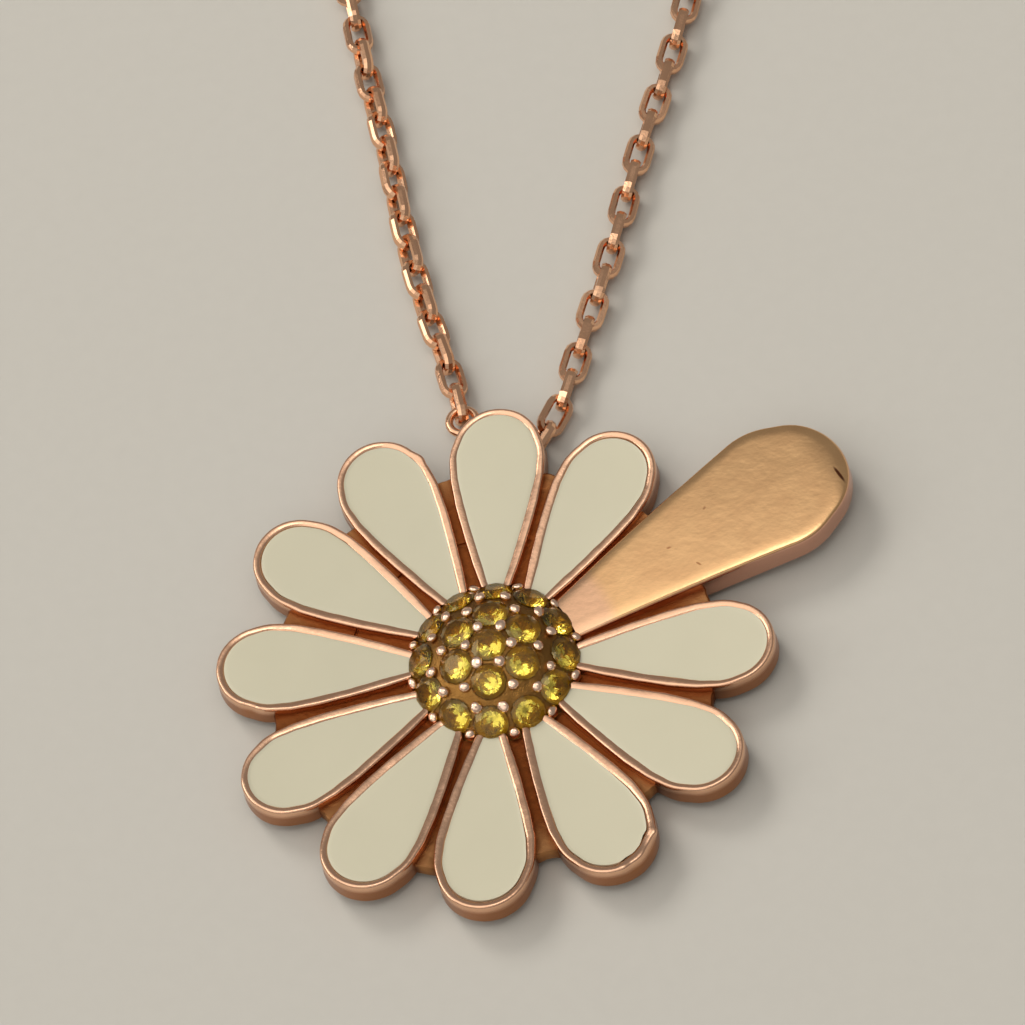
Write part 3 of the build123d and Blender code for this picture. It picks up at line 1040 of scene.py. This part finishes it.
routes = {"left": spline_points(left_route), "right": spline_points(right_route)}
for side, points in routes.items():
    print(side, "route", round(running_lengths(points)[-1] / mm, 1), "mm")

# %% [markdown]
# ## The links
# A link is a stadium of wire with flats on it: a small section of eight corners carried round
# the stadium. The links beyond the shown stretch are plainer and have a section of six.

# %% Shape a link
link_wire = 0.30 * mm
link_height = 0.42 * mm
link_width = 1.16 * mm
link_inside = 1.33 * mm
pitch = 1.26 * mm
eye_radius = 0.56 * mm
eye_wire = 0.33 * mm
links_shown = 20


def make_link(name, bend_steps, section):
    """One link in the XY plane, long in X, with a section given as (out, up) shares."""
    bend = (link_width - link_wire) / 2
    straight = (link_inside + 2 * link_wire - link_width) / 2
    vertices, faces = [], []
    stations = []
    for side in (1, -1):
        for step in range(bend_steps + 1):
            angle = radians(-90 + step * 180 / bend_steps + (0 if side == 1 else 180))
            stations.append((side * straight, angle))
    for middle, angle in stations:
        for out_share, up_share in section:
            radius = bend + out_share * link_wire / 2
            vertices.append((middle + radius * cos(angle), radius * sin(angle), up_share * link_height / 2))
    count, sides = len(stations), len(section)
    for station in range(count):
        for side in range(sides):
            ahead, beside = (station + 1) % count, (side + 1) % sides
            corners = ((station, side), (ahead, side), (ahead, beside), (station, beside))
            faces.append([at * sides + corner for at, corner in corners])
    mesh = bpy.data.meshes.new(name)
    mesh.from_pydata(vertices, [], faces)
    piece = bpy.data.objects.new(name, mesh)
    bpy.context.scene.collection.objects.link(piece)
    pick(piece)
    bpy.ops.object.mode_set(mode="EDIT")
    turn_faces_out()
    return piece


fine_section = ((1, 0.42), (0.5, 1), (-0.5, 1), (-1, 0.42), (-1, -0.42), (-0.5, -1), (0.5, -1), (1, -0.42))
plain_section = ((1, 0), (0.5, 1), (-0.5, 1), (-1, 0), (-0.5, -1), (0.5, -1))
fine_link = make_link("fine_link", 8, fine_section)
plain_link = make_link("plain_link", 5, plain_section)
print("link faces", len(fine_link.data.polygons), len(plain_link.data.polygons))

# %% Set the links along the routes
left_first_roll, left_last_roll, left_twist = 16, -12, 36
right_roll, right_lean, leaning_links = 18, 20, 2
slack_roll = 4
first_link_at = 0.835 * mm


def roll_of(side, index):
    """Turn of a link about the chain's line, in degrees."""
    standing = 90 * ((index + 1) % 2) + slack_roll * sin(2.3 * index)
    share = min(index / (links_shown - 1), 1)
    if side == "left":
        between = left_first_roll + share * (left_last_roll - left_first_roll)
        return standing + between + left_twist * sin(pi * share)
    return standing + right_roll + right_lean * max(0, 1 - index / leaning_links)


def set_links(side):
    """The shown links and the rest of one side, as two lists."""
    points = routes[side]
    lengths = running_lengths(points)
    end = lengths[-1] - first_link_at
    count = 1 + round((end - first_link_at) / pitch)
    step = (end - first_link_at) / (count - 1)
    shown, rest = [], []
    for index in range(count):
        at, way = along(points, lengths, first_link_at + index * (pitch if index < links_shown else step))
        across = Vector((0, 0, 1)).cross(way)
        upright = Matrix((way, across, Vector((0, 0, 1)))).transposed().to_4x4()
        roll = Matrix.Rotation(radians(roll_of(side, index)), 4, "X")
        place = Matrix.Translation(at) @ upright @ roll
        near = index < links_shown
        twin = copy_piece(fine_link if near else plain_link, "link", place)
        (shown if near else rest).append(twin)
    return shown, rest


chains = {}
for side in ("left", "right"):
    shown, rest = set_links(side)
    print(side, "links", len(shown), "+", len(rest))
    chains[f"chain_{side}_links"] = join(f"{side}_chain_shown", shown)
    chains[f"chain_{side}_back"] = join(f"{side}_chain_rest", rest)
for link in (fine_link, plain_link):
    bpy.data.objects.remove(link)

# %% [markdown]
# ## The eyes
# Two small rings are soldered to the top petal for the chain's first links.

# %% Build the eyes
def eye(name, at):
    """A small flat ring."""
    deselect()
    bpy.ops.mesh.primitive_torus_add(
        major_segments=32, minor_segments=12, major_radius=eye_radius, minor_radius=eye_wire / 2,
    )
    ring = bpy.context.object
    ring.name = name
    set_place(ring, Matrix.Translation((at[0] * mm, at[1] * mm, chain_height)))
    return ring


eyes = join("chain_eyes", [eye("left_eye", left_route[0]), eye("right_eye", right_route[0])])
smooth(eyes, 60)
print("eyes stand at", left_route[0], right_route[0])

# %% [markdown]
# ## Dress every piece
# Pieces take their finish and the frame nodes that they stand for. The clasp stays the
# frame's own solid and only gets a finish.

# %% Hand out materials
for number, (cup, fill) in enumerate(zip(cups, fills), 1):
    dress(cup, rim_gold, "rose_gold", "flower_body")
    dress(fill, enamel, "white_enamel", f"enamel_{number:02d}")
for number, piece in enumerate(stones, 1):
    dress(piece, stone_glass, "yellow_stone", f"stone_{number:02d}")
dress(polished, satin_gold, "rose_gold", "flower_body")
dress(plate, groove_gold, "rose_gold", "flower_body")
dress(cap, dome_gold, "rose_gold", "flower_body")
dress(beads, bead_gold, "rose_gold", "flower_body")
dress(eyes, chain_gold, "rose_gold", "flower_body")
for node_name, piece in chains.items():
    dress(piece, chain_gold, "rose_gold", node_name)
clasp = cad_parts["clasp"]
clasp.data.materials.clear()
clasp.data.materials.append(chain_gold)
print("dressed")

# %% [markdown]
# ## The table and the light
# The necklace lies on a pale matt sheet. Soft daylight comes from the upper left. The room is
# a dim world with three bright patches and a dark one, and they are what the metal reflects.
# The large window gives the soft shadow and is hidden from reflections.

# %% Lay the floor
deselect()
bpy.ops.mesh.primitive_plane_add(size=1.6, location=(0, 0.08, 0))
floor = bpy.context.object
floor.name = "table_top"
sheet, tree, shader, place = new_material("pale sheet")
grain = use_group(
    tree, tint, place, Clean=(0.534, 0.511, 0.459), Dull=(0.510, 0.488, 0.438), Amount=1.0, Size=1500.0,
)
feed(tree, shader, Base_Color=grain.outputs["Color"], Roughness=0.8)
floor.data.materials.append(sheet)

# %% Light the scene
room_light = 0.27
lobes = (  # axis, cosines at which it starts and is full, strength
    ((-0.25, -0.30, 0.92), 0.50, 1.0, 1.10),
    ((-0.80, 0.25, 0.55), 0.95, 0.985, 2.4),
    ((0.15, -0.46, 0.87), 0.94, 0.99, -0.85),
    ((0.10, -0.08, 0.99), 0.972, 0.994, 1.7),
)
warm_white = (1.0, 0.97, 0.93)


def soft_box(name, at, aim, size, power, colour):
    """A square area light that faces a point."""
    light = bpy.data.lights.new(name, "AREA")
    light.shape = "SQUARE"
    light.size = size
    light.energy = power
    light.color = colour
    lamp = bpy.data.objects.new(name, light)
    lamp.location = at
    lamp.rotation_euler = (Vector(aim) - Vector(at)).to_track_quat("-Z", "Y").to_euler()
    bpy.context.scene.collection.objects.link(lamp)
    return lamp


world = bpy.data.worlds.new("room")
world.use_nodes = True
bpy.context.scene.world = world
tree = world.node_tree
way = add_node(tree, "TexCoord").outputs["Generated"]
strength = room_light
for axis, low, high, amount in lobes:
    axis = Vector(axis).normalized()
    cosine = math_node(tree, "DOT_PRODUCT", way, axis, kind="VectorMath", output="Value")
    strength = math_node(tree, "ADD", strength, fade(tree, cosine, low, high, amount))
feed(tree, tree.nodes["Background"], Color=warm_white, Strength=strength)

soft_box("side window", (-0.62, -0.14, 0.28), (0, 0.01, 0), 0.20, 0.3, (1.0, 0.98, 0.95))
window = soft_box("window", (-0.45, 0.54, 0.60), (0, 0, 0), 0.30, 3.2, warm_white)
window.visible_glossy = False
bpy.context.scene.view_settings.view_transform = "Standard"
